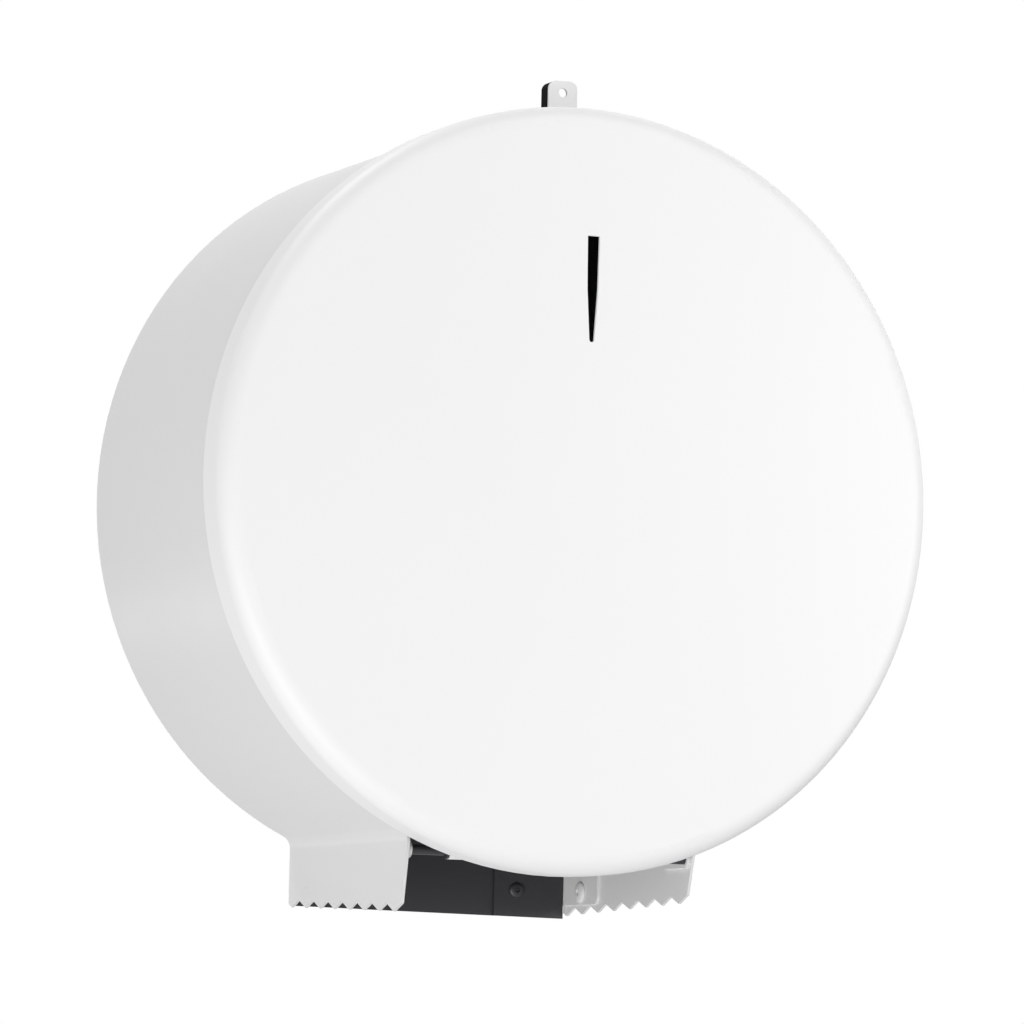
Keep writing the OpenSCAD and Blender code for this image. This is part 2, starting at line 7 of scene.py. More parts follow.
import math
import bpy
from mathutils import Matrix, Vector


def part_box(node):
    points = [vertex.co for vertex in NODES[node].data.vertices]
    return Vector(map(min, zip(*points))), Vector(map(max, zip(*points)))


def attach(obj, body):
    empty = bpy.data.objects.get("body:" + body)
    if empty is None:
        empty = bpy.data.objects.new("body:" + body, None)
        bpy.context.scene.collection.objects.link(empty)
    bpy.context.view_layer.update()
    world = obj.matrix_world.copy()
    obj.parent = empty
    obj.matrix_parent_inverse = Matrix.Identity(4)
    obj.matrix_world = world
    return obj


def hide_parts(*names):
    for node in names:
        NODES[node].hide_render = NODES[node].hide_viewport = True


bl_info = {
    "name": "Toilet Roll Dispenser Looks",
    "version": (1, 0, 0),
    "blender": (4, 5, 0),
    "location": "3D View > Sidebar > Dispenser",
    "description": "Coats, plates and furnishes a round toilet roll dispenser and lights it",
    "category": "Object",
}

import bpy
from bpy.props import FloatProperty, FloatVectorProperty, IntProperty, PointerProperty
from mathutils import Vector

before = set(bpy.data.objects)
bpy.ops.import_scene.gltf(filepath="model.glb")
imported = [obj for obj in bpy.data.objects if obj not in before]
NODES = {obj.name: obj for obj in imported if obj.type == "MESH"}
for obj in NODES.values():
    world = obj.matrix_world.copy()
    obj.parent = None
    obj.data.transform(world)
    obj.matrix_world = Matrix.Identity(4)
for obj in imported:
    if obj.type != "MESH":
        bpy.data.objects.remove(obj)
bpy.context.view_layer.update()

MM = 0.001

# CAD nodes by their finish
WHITE_LID_NODES = ("lid_shell", "hinge_leaf_left", "hinge_leaf_right")
# The drum's nodes get a greyer copy of the white coat, which is painted shade
WHITE_DRUM_NODES = ("case_band", "chute_angle_left", "chute_angle_right",
                    "hinge_bracket_left", "hinge_bracket_right")
# The hinge rod and its clips are black so that, against the light chute side, they also stand in
# for the shade line under the lid's edge
BLACK_AND_SHADE_NODES = ("back_plate", "hinge_rod", "rod_clips")
LUG_NODES = ("lock_lug",)
DRAWN_STEEL_NODES = ("spindle_axle", "axle_plug")
ROLLED_STEEL_NODES = ("spindle_foot", "end_washer")
HUB_NODES = ("roll_hub",)
NYLON_NODES = ("rear_bush", "front_bush", "thrust_washer")

# Squeeze of a streak pattern along X, Y and Z: the smallest share is the streaks' direction
STREAKS_ALONG_Y = (1, 0.03, 1)
STREAKS_ALONG_X = (0.03, 1, 1)
STREAKS_UPSET = (1, 1, 0.4)

# Fixed values of the finishes
WHITE_TONE = 0.02
BLACK_TONE = 0.25
COAT_WIPING = 0.05
COAT_IOR = 1.5
# The lug's rough finish with little reflection keeps its painted shade dark under the lamps
LUG_ROUGHNESS = 0.7
LUG_SPECULAR = 0.04
STEEL_CLOUD = 0.012
STEEL_TONE = 0.12
STEEL_STREAK_HEIGHT = 0.004 * MM
STEEL_ROUGHNESS_SPREAD = 0.08
PLASTIC_CLOUD = 0.03
PLASTIC_TONE = 0.05
PLASTIC_WIPING = 0.08
PLASTIC_SOFTNESS = 0.05
PLASTIC_DEPTH = 2 * MM
HUB_GRAIN_HEIGHT = 0.012 * MM
NYLON_GRAIN_HEIGHT = 0.004 * MM

# Heads from the seat up, as shares of the head's radius and height
BUTTON_HEAD = ((1, 0.35), (0.94, 0.66), (0.8, 0.88), (0.62, 0.985), (0.5, 1))
PAN_HEAD = ((1, 0.4), (0.92, 0.68), (0.72, 0.9), (0.4, 1))
# A spot weld's mark, as shares of its radius and heights above its sheet
WELD_RINGS = ((1, -0.1 * MM), (0.96, 0.03 * MM), (0.86, 0.09 * MM),
              (0.74, 0.08 * MM), (0.6, 0.02 * MM), (0.3, 0.01 * MM))

RIVET_DOME_STEPS = 6
SMOOTH_ANGLE = math.radians(28)
FOOT_RIVETS = 3
END_SCREW_SHANK_R = 2.5 * MM
END_SCREW_EDGE = 0.35 * MM
END_SCREW_SOCKET = 0.45
LUG_SCREW_SHANK_R = 1.5 * MM
LUG_SCREW_HEAD_H = 2.0 * MM
LUG_SCREW_SLOT_W = 0.7 * MM
LEAF_T = 1.2 * MM
LEAF_WELD_DROPS = (4.5 * MM, 11.5 * MM)
BRACKET_WELD_REACHES = (4 * MM, 11 * MM)
BRACKET_WELD_SHARE = 0.8

SENSOR_WIDTH = 36
CLIP_START = 0.05
FLOOR_SIZE = 60
FLOOR_WHITE = (0.86, 0.86, 0.86, 1)
# Each lamp's name, the setting of its power, its width, its place and the point that it faces
LAMPS = (
    ("key_lamp", "key_power", 0.35, (0.55, -0.55, 0.0), (0.05, -0.13, 0)),
    ("left_lamp", "left_power", 0.7, (-1.2, -0.8, -0.6), (-0.05, -0.1, -0.1)),
    ("low_lamp", "low_power", 0.6, (-0.55, -0.9, -0.85), (0, -0.1, -0.1)),
    ("top_lamp", "top_power", 0.6, (0.35, -0.8, 0.9), (0, -0.12, 0.05)),
    ("crown_lamp", "crown_power", 0.5, (-0.35, 0.3, 1.05), (-0.05, -0.06, 0.08)),
    ("streak_lamp", "streak_power", 0.15, (-0.71, 1.29, -0.33), (-0.125, -0.06, -0.045)),
)


# Settings ---------------------------------------------------------------------------

class CoatSettings(bpy.types.PropertyGroup):
    lid_white: FloatVectorProperty(
        name="Lid white", description="Colour of the lid's coat", subtype="COLOR",
        size=4, min=0, max=1, default=(0.86, 0.86, 0.862, 1))
    # Painted shade: the drum's white is set greyer than the lid's, so the drum's side, chute angles
    # and brackets look shaded beside the lid under the same lamps
    drum_white_painted_shade: FloatVectorProperty(
        name="Drum white", description="Colour of the drum's coat, a shade greyer than the lid's",
        subtype="COLOR", size=4, min=0, max=1, default=(0.735, 0.735, 0.737, 1))
    lid_roughness: FloatProperty(
        name="Lid roughness", description="Roughness of the lid's coat",
        default=0.46, min=0, max=1)
    drum_roughness: FloatProperty(
        name="Drum roughness", description="Roughness of the drum's coat",
        default=0.38, min=0, max=1)
    black: FloatVectorProperty(
        name="Black", description="Colour of the black coat", subtype="COLOR",
        size=4, min=0, max=1, default=(0.07, 0.07, 0.0705, 1))
    # Painted shade: the lug's near-zero black, darker than the black coat, stands for the deep
    # shade of the gap behind the lid's tab
    lug_black_painted_shade: FloatVectorProperty(
        name="Lug black", description="Colour of the lock lug, which is a deeper black",
        subtype="COLOR", size=4, min=0, max=1, default=(0.004, 0.004, 0.004, 1))
    black_roughness: FloatProperty(
        name="Black roughness", description="Roughness of the black coat",
        default=0.48, min=0, max=1)
    peel_size: FloatProperty(
        name="Peel size", description="Width of a wave in the coat's surface", default=0.0012,
        min=0.0002, max=0.01, unit="LENGTH")
    peel_height: FloatProperty(
        name="Peel height", description="Height of a wave in the coat's surface", default=0.000006,
        min=0, max=0.0005, unit="LENGTH", precision=6)
    tone_size: FloatProperty(
        name="Tone size", description="Width of the faint clouds in a coat's tone", default=0.09,
        min=0.005, max=0.5, unit="LENGTH")


class MetalSettings(bpy.types.PropertyGroup):
    steel: FloatVectorProperty(
        name="Steel", description="Colour of the plated steel", subtype="COLOR",
        size=4, min=0, max=1, default=(0.62, 0.62, 0.63, 1))
    steel_roughness: FloatProperty(
        name="Steel roughness", description="Mean roughness of the plated steel",
        default=0.32, min=0, max=1)
    streak_size: FloatProperty(
        name="Streak size", description="Width of a drawing streak", default=0.0003,
        min=0.0001, max=0.01, unit="LENGTH")


class PlasticSettings(bpy.types.PropertyGroup):
    hub: FloatVectorProperty(
        name="Hub", description="Colour of the moulded hub", subtype="COLOR",
        size=4, min=0, max=1, default=(0.62, 0.63, 0.64, 1))
    nylon: FloatVectorProperty(
        name="Nylon", description="Colour of the bushes and the thrust washer", subtype="COLOR",
        size=4, min=0, max=1, default=(0.8, 0.77, 0.69, 1))
    roughness: FloatProperty(
        name="Roughness", description="Roughness of the moulded pieces", default=0.42, min=0, max=1)
    grain_size: FloatProperty(
        name="Grain size", description="Width of a grain of the mould's texture", default=0.0006,
        min=0.0001, max=0.01, unit="LENGTH")


class FastenerSettings(bpy.types.PropertyGroup):
    sides: IntProperty(
        name="Sides", description="Sides of a round fastener", default=48, min=16, max=96)
    sheet: FloatProperty(
        name="Sheet", description="Thickness of one sheet under a rivet's head", default=0.001,
        min=0.0005, max=0.003, unit="LENGTH")
    rivet_head_r: FloatProperty(
        name="Rivet head radius", description="Head radius of a side or foot rivet", default=0.0039,
        min=0.002, max=0.006, unit="LENGTH")
    rivet_r: FloatProperty(
        name="Rivet radius", description="Shank radius of a side or foot rivet", default=0.002,
        min=0.001, max=0.003, unit="LENGTH")
    tail_rivet_head_r: FloatProperty(
        name="Tail rivet head radius", description="Head radius of a tail rivet", default=0.0029,
        min=0.002, max=0.006, unit="LENGTH")
    tail_rivet_r: FloatProperty(
        name="Tail rivet radius", description="Shank radius of a tail rivet", default=0.0016,
        min=0.001, max=0.003, unit="LENGTH")
    head_h: FloatProperty(
        name="Rivet head height", description="Height of a rivet's head", default=0.0014,
        min=0.0005, max=0.003, unit="LENGTH")
    weld_r: FloatProperty(
        name="Weld mark radius", description="Radius of a spot weld's mark", default=0.0026,
        min=0.001, max=0.006, unit="LENGTH")


class StageSettings(bpy.types.PropertyGroup):
    camera_place: FloatVectorProperty(
        name="Camera place", description="Where the camera stands", subtype="TRANSLATION",
        size=3, default=(-0.836, -2.0435, -0.2013))
    camera_turn: FloatVectorProperty(
        name="Camera turn", description="The camera's turn about X, Y and Z", subtype="EULER",
        unit="ROTATION", size=3,
        default=(math.radians(95.28), math.radians(-1.27), math.radians(-23.08)))
    lens: FloatProperty(
        name="Lens", description="Focal length in millimetres", default=210.9, min=20, max=400)
    floor_z: FloatProperty(
        name="Floor height", description="Height of the floor", default=-1.9,
        min=-4, max=0, unit="LENGTH")
    floor_glow: FloatProperty(
        name="Floor glow", description="How much paler the floor looks than its light makes it",
        default=0.4, min=0, max=1)
    world_light: FloatProperty(
        name="World light", description="Strength of the even light from all round", default=0.36,
        min=0, max=2)
    key_power: FloatProperty(
        name="Key power", description="Power of the lamp in front, to the right", default=1.5,
        min=0, max=500, unit="POWER")
    left_power: FloatProperty(
        name="Left power", description="Power of the lamp in front, to the left", default=9.2,
        min=0, max=500, unit="POWER")
    low_power: FloatProperty(
        name="Low power", description="Power of the lamp in front, below", default=4.5,
        min=0, max=500, unit="POWER")
    top_power: FloatProperty(
        name="Top power", description="Power of the lamp in front, above", default=4.5,
        min=0, max=500, unit="POWER")
    crown_power: FloatProperty(
        name="Crown power", description="Power of the lamp above the drum, behind the lid",
        default=4.7, min=0, max=500, unit="POWER")
    streak_power: FloatProperty(
        name="Streak power", description="Power of the lamp that shines from behind along the drum",
        default=0.42, min=0, max=500, unit="POWER")


# Node groups ------------------------------------------------------------------------

def new_group(name, inputs, outputs):
    """An empty shader group with named sockets, and its input and output nodes."""
    group = bpy.data.node_groups.new(name, "ShaderNodeTree")
    for socket_name, kind, value in inputs:
        socket = group.interface.new_socket(name=socket_name, in_out="INPUT", socket_type=kind)
        if value is not None:
            socket.default_value = value
    for socket_name, kind in outputs:
        group.interface.new_socket(name=socket_name, in_out="OUTPUT", socket_type=kind)
    return group, group.nodes.new("NodeGroupInput"), group.nodes.new("NodeGroupOutput")


def add(tree, kind, inputs=None, **settings):
    """Adds a shader node, with its settings and the values of its sockets."""
    node = tree.nodes.new("ShaderNode" + kind)
    for key, value in settings.items():
        setattr(node, key, value)
    for key, value in (inputs or {}).items():
        node.inputs[key].default_value = value
    return node


def join(tree, out_socket, in_socket):
    tree.links.new(out_socket, in_socket)


def per_metre(tree, size_socket):
    """A pattern's scale from the width of one of its cells."""
    divide = add(tree, "Math", {0: 1.0}, operation="DIVIDE")
    join(tree, size_socket, divide.inputs[1])
    return divide.outputs[0]


def scaled_noise(tree, vector, size_socket, detail, roughness=0.5):
    """Noise whose clouds are as wide as a socket says."""
    scale = per_metre(tree, size_socket)
    noise = add(tree, "TexNoise", {"Detail": detail, "Roughness": roughness})
    join(tree, vector, noise.inputs["Vector"])
    join(tree, scale, noise.inputs["Scale"])
    return noise


def bump_from(tree, height, distance):
    """The normal of a surface that is raised by a pattern."""
    bump = add(tree, "Bump", {"Strength": 1.0})
    join(tree, height, bump.inputs["Height"])
    join(tree, distance, bump.inputs["Distance"])
    return bump.outputs["Normal"]


def build_coat_waves():
    """Long low waves of a sprayed and baked coat, as a normal."""
    group, inp, out = new_group(
        "coat_waves",
        [("Vector", "NodeSocketVector", None), ("Size", "NodeSocketFloat", 0.001),
         ("Height", "NodeSocketFloat", 0.00001)],
        [("Normal", "NodeSocketVector")])
    noise = scaled_noise(group, inp.outputs["Vector"], inp.outputs["Size"], detail=1.5)
    normal = bump_from(group, noise.outputs["Fac"], inp.outputs["Height"])
    join(group, normal, out.inputs["Normal"])


def build_tone_clouds():
    """Wide faint clouds that lighten and darken a colour."""
    group, inp, out = new_group(
        "tone_clouds",
        [("Vector", "NodeSocketVector", None), ("Color", "NodeSocketColor", (1, 1, 1, 1)),
         ("Size", "NodeSocketFloat", 0.08), ("Amount", "NodeSocketFloat", 0.04)],
        [("Color", "NodeSocketColor")])
    noise = scaled_noise(group, inp.outputs["Vector"], inp.outputs["Size"], detail=3.0)
    centred = add(group, "Math", {1: 0.5}, operation="SUBTRACT")
    join(group, noise.outputs["Fac"], centred.inputs[0])
    share = add(group, "Math", {2: 1.0}, operation="MULTIPLY_ADD")
    join(group, centred.outputs[0], share.inputs[0])
    join(group, inp.outputs["Amount"], share.inputs[1])
    shade = add(group, "VectorMath", operation="SCALE")
    join(group, inp.outputs["Color"], shade.inputs[0])
    join(group, share.outputs[0], shade.inputs["Scale"])
    join(group, shade.outputs[0], out.inputs["Color"])


def build_handling_marks():
    """Fine wiping marks, which make a surface duller along thin curved lines."""
    group, inp, out = new_group(
        "handling_marks",
        [("Vector", "NodeSocketVector", None), ("Base", "NodeSocketFloat", 0.35),
         ("Amount", "NodeSocketFloat", 0.06)],
        [("Roughness", "NodeSocketFloat")])
    wide = add(group, "TexNoise", {"Scale": 22.0, "Detail": 4.0, "Distortion": 1.2})
    stretch = add(group, "Mapping", {"Scale": (90.0, 90.0, 900.0), "Rotation": (0.3, 0.5, 0.2)})
    fine = add(group, "TexNoise", {"Scale": 1.0, "Detail": 2.0})
    both = add(group, "Math", operation="MULTIPLY")
    ramp = add(group, "MapRange", {"From Min": 0.12, "From Max": 0.42})
    total = add(group, "Math", operation="MULTIPLY_ADD")
    join(group, inp.outputs["Vector"], wide.inputs["Vector"])
    join(group, inp.outputs["Vector"], stretch.inputs["Vector"])
    join(group, stretch.outputs[0], fine.inputs["Vector"])
    join(group, wide.outputs["Fac"], both.inputs[0])
    join(group, fine.outputs["Fac"], both.inputs[1])
    join(group, both.outputs[0], ramp.inputs["Value"])
    join(group, ramp.outputs[0], total.inputs[0])
    join(group, inp.outputs["Amount"], total.inputs[1])
    join(group, inp.outputs["Base"], total.inputs[2])
    join(group, total.outputs[0], out.inputs["Roughness"])


def build_drawn_streaks():
    """Streaks left by drawing or turning along one direction."""
    group, inp, out = new_group(
        "drawn_streaks",
        [("Vector", "NodeSocketVector", None), ("Direction", "NodeSocketVector", None),
         ("Size", "NodeSocketFloat", 0.0003), ("Height", "NodeSocketFloat", 0.000004)],
        [("Normal", "NodeSocketVector"), ("Streak", "NodeSocketFloat")])
    squeeze = add(group, "VectorMath", operation="MULTIPLY")
    join(group, inp.outputs["Vector"], squeeze.inputs[0])
    join(group, inp.outputs["Direction"], squeeze.inputs[1])
    noise = scaled_noise(group, squeeze.outputs[0], inp.outputs["Size"], detail=3.0, roughness=0.6)
    normal = bump_from(group, noise.outputs["Fac"], inp.outputs["Height"])
    join(group, normal, out.inputs["Normal"])
    join(group, noise.outputs["Fac"], out.inputs["Streak"])


def build_mould_grain():
    """Even fine grain of a textured mould."""
    group, inp, out = new_group(
        "mould_grain",
        [("Vector", "NodeSocketVector", None), ("Size", "NodeSocketFloat", 0.0006),
         ("Height", "NodeSocketFloat", 0.00001)],
        [("Normal", "NodeSocketVector")])
    scale = per_metre(group, inp.outputs["Size"])
    cells = add(group, "TexVoronoi", {"Smoothness": 0.6}, feature="SMOOTH_F1")
    join(group, inp.outputs["Vector"], cells.inputs["Vector"])
    join(group, scale, cells.inputs["Scale"])
    normal = bump_from(group, cells.outputs["Distance"], inp.outputs["Height"])
    join(group, normal, out.inputs["Normal"])


GROUP_BUILDERS = {
    "coat_waves": build_coat_waves,
    "tone_clouds": build_tone_clouds,
    "handling_marks": build_handling_marks,
    "drawn_streaks": build_drawn_streaks,
    "mould_grain": build_mould_grain,
}


def place_group(tree, name, coords, **values):
    """Places one of the shared groups, built the first time, with its own values."""
    if name not in bpy.data.node_groups:
        GROUP_BUILDERS[name]()
    node = add(tree, "Group", node_tree=bpy.data.node_groups[name])
    for key, value in values.items():
        node.inputs[key].default_value = value
    join(tree, coords, node.inputs["Vector"])
    return node


# Materials --------------------------------------------------------------------------

def new_material(name):
    """A material with its tree and its shader."""
    material = bpy.data.materials.new(name)
    material.use_nodes = True
    tree = material.node_tree
    return material, tree, tree.nodes["Principled BSDF"]


def object_coords(tree):
    return add(tree, "TexCoord").outputs["Object"]


def coat_material(name, colour, roughness, tone):
    """A sprayed coat with low waves, faint clouds and wiping marks."""
    if name in bpy.data.materials:
        return bpy.data.materials[name]
    settings = bpy.context.scene.dispenser_coat
    material, tree, shader = new_material(name)
    coords = object_coords(tree)
    clouds = place_group(
        tree, "tone_clouds", coords, Color=colour, Size=settings.tone_size, Amount=tone)
    marks = place_group(tree, "handling_marks", coords, Base=roughness, Amount=COAT_WIPING)
    waves = place_group(
        tree, "coat_waves", coords, Size=settings.peel_size, Height=settings.peel_height)
    join(tree, clouds.outputs["Color"], shader.inputs["Base Color"])
    join(tree, marks.outputs["Roughness"], shader.inputs["Roughness"])
    join(tree, waves.outputs["Normal"], shader.inputs["Normal"])
    shader.inputs["IOR"].default_value = COAT_IOR
    return material


def lid_coat():
    settings = bpy.context.scene.dispenser_coat
    return coat_material("lid_coat", settings.lid_white, settings.lid_roughness, WHITE_TONE)


# The drum's coat, whose greyer white is painted shade; the side rivets and bracket welds carry it
# too
def drum_coat():
    settings = bpy.context.scene.dispenser_coat
    return coat_material("drum_coat", settings.drum_white_painted_shade, settings.drum_roughness, WHITE_TONE)


def black_coat():
    settings = bpy.context.scene.dispenser_coat
    return coat_material("black_coat", settings.black, settings.black_roughness, BLACK_TONE)


def lug_coat():
    """A flat deep black that mirrors next to nothing: painted shade for the dark gap behind the
    lid's tab.
    """
    settings = bpy.context.scene.dispenser_coat
    material = coat_material("lug_coat", settings.lug_black_painted_shade, LUG_ROUGHNESS, BLACK_TONE)
    shader = material.node_tree.nodes["Principled BSDF"]
    shader.inputs["Specular IOR Level"].default_value = LUG_SPECULAR
    return material


def bright_steel(name, direction):
    """Zinc-plated steel with streaks along one direction."""
    if name in bpy.data.materials:
        return bpy.data.materials[name]
    settings = bpy.context.scene.dispenser_metal
    material, tree, shader = new_material(name)
    coords = object_coords(tree)
    clouds = place_group(
        tree, "tone_clouds", coords, Color=settings.steel, Size=STEEL_CLOUD, Amount=STEEL_TONE)
    streaks = place_group(
        tree, "drawn_streaks", coords, Direction=direction, Size=settings.streak_size,
        Height=STEEL_STREAK_HEIGHT)
    rough = add(tree, "MapRange", {
        "To Min": settings.steel_roughness - STEEL_ROUGHNESS_SPREAD,
        "To Max": settings.steel_roughness + STEEL_ROUGHNESS_SPREAD})
    join(tree, streaks.outputs["Streak"], rough.inputs["Value"])
    join(tree, rough.outputs[0], shader.inputs["Roughness"])
    join(tree, clouds.outputs["Color"], shader.inputs["Base Color"])
    join(tree, streaks.outputs["Normal"], shader.inputs["Normal"])
    shader.inputs["Metallic"].default_value = 1.0
    return material


def moulded_material(name, colour, grain_height):
    """Satin plastic with the grain of its mould and wiping marks."""
    settings = bpy.context.scene.dispenser_plastic
    material, tree, shader = new_material(name)
    coords = object_coords(tree)
    clouds = place_group(
        tree, "tone_clouds", coords, Color=colour, Size=PLASTIC_CLOUD, Amount=PLASTIC_TONE)
    grain = place_group(
        tree, "mould_grain", coords, Size=settings.grain_size, Height=grain_height)
    marks = place_group(
        tree, "handling_marks", coords, Base=settings.roughness, Amount=PLASTIC_WIPING)
    join(tree, clouds.outputs["Color"], shader.inputs["Base Color"])
    join(tree, grain.outputs["Normal"], shader.inputs["Normal"])
    join(tree, marks.outputs["Roughness"], shader.inputs["Roughness"])
    shader.inputs["Subsurface Weight"].default_value = PLASTIC_SOFTNESS
    shader.inputs["Subsurface Radius"].default_value = (PLASTIC_DEPTH,) * 3
    return material


def dress(names, material):
    """Gives CAD nodes a material without touching their meshes."""
    for name in names:
        node = NODES[name]
        node.data.materials.clear()
        node.data.materials.append(material)


# Modelling --------------------------------------------------------------------------

def clear_selection():
    if bpy.context.object and bpy.context.object.mode != "OBJECT":
        bpy.ops.object.mode_set(mode="OBJECT")
    bpy.ops.object.select_all(action="DESELECT")


def select_only(piece):
    clear_selection()
    piece.select_set(True)
    bpy.context.view_layer.objects.active = piece


def apply_place():
    bpy.ops.object.transform_apply(location=True, rotation=True, scale=True)


def stack_of_rings(name, rings, sides):
    """A round solid along +Z, extruded ring by ring through (radius, height) pairs."""
    clear_selection()
    last_r, last_z = rings[0]
    bpy.ops.mesh.primitive_circle_add(
        vertices=sides, radius=last_r, fill_type="NGON", location=(0, 0, last_z))
    piece = bpy.context.object
    piece.name = name
    piece.data.name = name
    apply_place()
    bpy.ops.object.mode_set(mode="EDIT")
    bpy.ops.mesh.select_all(action="SELECT")
    for ring_r, ring_z in rings[1:]:
        bpy.ops.mesh.extrude_region_move(
            TRANSFORM_OT_translate={"value": (0, 0, ring_z - last_z)})
        share = ring_r / last_r
        bpy.ops.transform.resize(value=(share, share, 1), center_override=(0, 0, ring_z))
        last_r, last_z = ring_r, ring_z
    bpy.ops.mesh.select_all(action="SELECT")
    bpy.ops.mesh.normals_make_consistent(inside=False)
    bpy.ops.object.mode_set(mode="OBJECT")
    return piece


def settle(piece, turn, place):
    """Turns and moves a finished piece, and puts both into its mesh."""
    select_only(piece)
    piece.rotation_euler = turn
    piece.location = place
    apply_place()
    bpy.ops.object.shade_smooth_by_angle(angle=SMOOTH_ANGLE)


def finish_piece(piece, body, material):
    """Coats a piece, and says what it rides on."""
    piece.data.materials.clear()
    piece.data.materials.append(material)
    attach(piece, body)


def cut_with(piece, cutter):
    """Takes one closed shape out of another, and removes the cutter."""
    select_only(piece)
    cut = piece.modifiers.new("cut", "BOOLEAN")
    cut.operation = "DIFFERENCE"
    cut.object = cutter
    cut.solver = "EXACT"
    bpy.ops.object.modifier_apply(modifier=cut.name)
    select_only(cutter)
    bpy.ops.object.delete()


def head_rings(outline, head_r, head_h):
    """A screw head's rings from its outline in shares."""
    return [(head_r * r_share, head_h * h_share) for r_share, h_share in outline]


def rivet_steel():
    return bright_steel("rivet_steel", STREAKS_UPSET)


def model_blind_rivet(name, head_r, shank_r, shank_len):
    """A pulled blind rivet: shank, domed flange and the mandrel's broken end in its hole."""
    sizes = bpy.context.scene.dispenser_fasteners
    head_h = sizes.head_h
    flange_r = head_r * 0.985
    flange_h = head_h * 0.28
    hole_r = shank_r * 0.56
    hole_floor = head_h * 0.3
    stub_r = shank_r * 0.46
    rings = [(shank_r, -shank_len), (shank_r, 0.0), (head_r * 0.97, 0.0),
             (head_r, flange_h * 0.5), (flange_r, flange_h)]
    for i in range(1, RIVET_DOME_STEPS + 1):
        angle = math.radians(90 * i / RIVET_DOME_STEPS)
        rings.append((hole_r + (flange_r - hole_r) * math.cos(angle),
                      flange_h + (head_h - flange_h) * math.sin(angle)))
    rings += [(hole_r * 0.94, head_h - 0.06 * MM), (hole_r * 0.94, hole_floor),
              (stub_r, hole_floor), (stub_r, head_h * 0.62),
              (stub_r * 0.8, head_h * 0.72), (stub_r * 0.3, head_h * 0.68)]
    return stack_of_rings(name, rings, sizes.sides)


def weld_mark(name, radius, turn, place, body, material):
    """The shallow ring and dimple that a spot weld leaves, sunk a little into its sheet."""
    rings = [(radius * share, height) for share, height in WELD_RINGS]
    mark = stack_of_rings(name, rings, bpy.context.scene.dispenser_fasteners.sides // 2)
    settle(mark, turn, place)
    finish_piece(mark, body, material)


class DISPENSER_OT_coat_lid(bpy.types.Operator):
    """Gives the lid and its hinge leaves their white coat"""
    bl_idname = "dispenser.coat_lid"
    bl_label = "Coat Lid"

    def execute(self, context):
        dress(WHITE_LID_NODES, lid_coat())
        return {"FINISHED"}


class DISPENSER_OT_coat_drum(bpy.types.Operator):
    """Gives the drum, its chute angles and its hinge brackets their white coat, greyed with painted
    shade
    """
    bl_idname = "dispenser.coat_drum"
    bl_label = "Coat Drum"

    def execute(self, context):
        dress(WHITE_DRUM_NODES, drum_coat())
        return {"FINISHED"}


class DISPENSER_OT_coat_back(bpy.types.Operator):
    """Gives the back plate, the hinge rod, its clips and the lock lug their black coats; the lug's
    deeper black is painted shade, and the rod's black also stands in for the shade under the lid's
    edge
    """
    bl_idname = "dispenser.coat_back"
    bl_label = "Coat Back"

    def execute(self, context):
        dress(BLACK_AND_SHADE_NODES, black_coat())
        dress(LUG_NODES, lug_coat())
        return {"FINISHED"}


class DISPENSER_OT_plate_steel(bpy.types.Operator):
    """Plates the spindle, its foot and the end washer"""
    bl_idname = "dispenser.plate_steel"
    bl_label = "Plate Steel"

    def execute(self, context):
        dress(DRAWN_STEEL_NODES, bright_steel("drawn_tube", STREAKS_ALONG_Y))
        dress(ROLLED_STEEL_NODES, bright_steel("rolled_steel", STREAKS_ALONG_X))
        return {"FINISHED"}


class DISPENSER_OT_mould_hub(bpy.types.Operator):
    """Gives the hub, its bushes and the thrust washer their moulded finish"""
    bl_idname = "dispenser.mould_hub"
    bl_label = "Mould Hub"

    def execute(self, context):
        settings = context.scene.dispenser_plastic
        dress(HUB_NODES, moulded_material("hub_plastic", settings.hub, HUB_GRAIN_HEIGHT))
        dress(NYLON_NODES, moulded_material("nylon", settings.nylon, NYLON_GRAIN_HEIGHT))
        return {"FINISHED"}


class DISPENSER_OT_side_rivets(bpy.types.Operator):
    """Models the two blind rivets through the chute sides"""
    bl_idname = "dispenser.side_rivets"
    bl_label = "Side Rivets"

    def execute(self, context):
        sizes = context.scene.dispenser_fasteners
        low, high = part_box("side_rivets")
        grip = 2 * sizes.sheet
        for side, name in ((-1, "side_rivet_left"), (1, "side_rivet_right")):
            rivet = model_blind_rivet(name, sizes.rivet_head_r, sizes.rivet_r, grip)
            place = (side * (high.x - grip), (low.y + high.y) / 2, (low.z + high.z) / 2)
            settle(rivet, (0, math.radians(-90 * side), 0), place)
            finish_piece(rivet, "case", drum_coat())
            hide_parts("side_rivets")
        return {"FINISHED"}


class DISPENSER_OT_tail_rivets(bpy.types.Operator):
    """Models the two black blind rivets through the tail"""
    bl_idname = "dispenser.tail_rivets"
    bl_label = "Tail Rivets"

    def execute(self, context):
        sizes = context.scene.dispenser_fasteners
        low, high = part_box("tail_rivets")
        seat_y = low.y + sizes.head_h
        shank_len = high.y - low.y - sizes.head_h
        for side, name in ((-1, "tail_rivet_left"), (1, "tail_rivet_right")):
            rivet = model_blind_rivet(name, sizes.tail_rivet_head_r, sizes.tail_rivet_r, shank_len)
            place = (side * (high.x - sizes.tail_rivet_head_r), seat_y, (low.z + high.z) / 2)
            settle(rivet, (math.radians(90), 0, 0), place)
            finish_piece(rivet, "case", black_coat())
            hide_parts("tail_rivets")
        return {"FINISHED"}


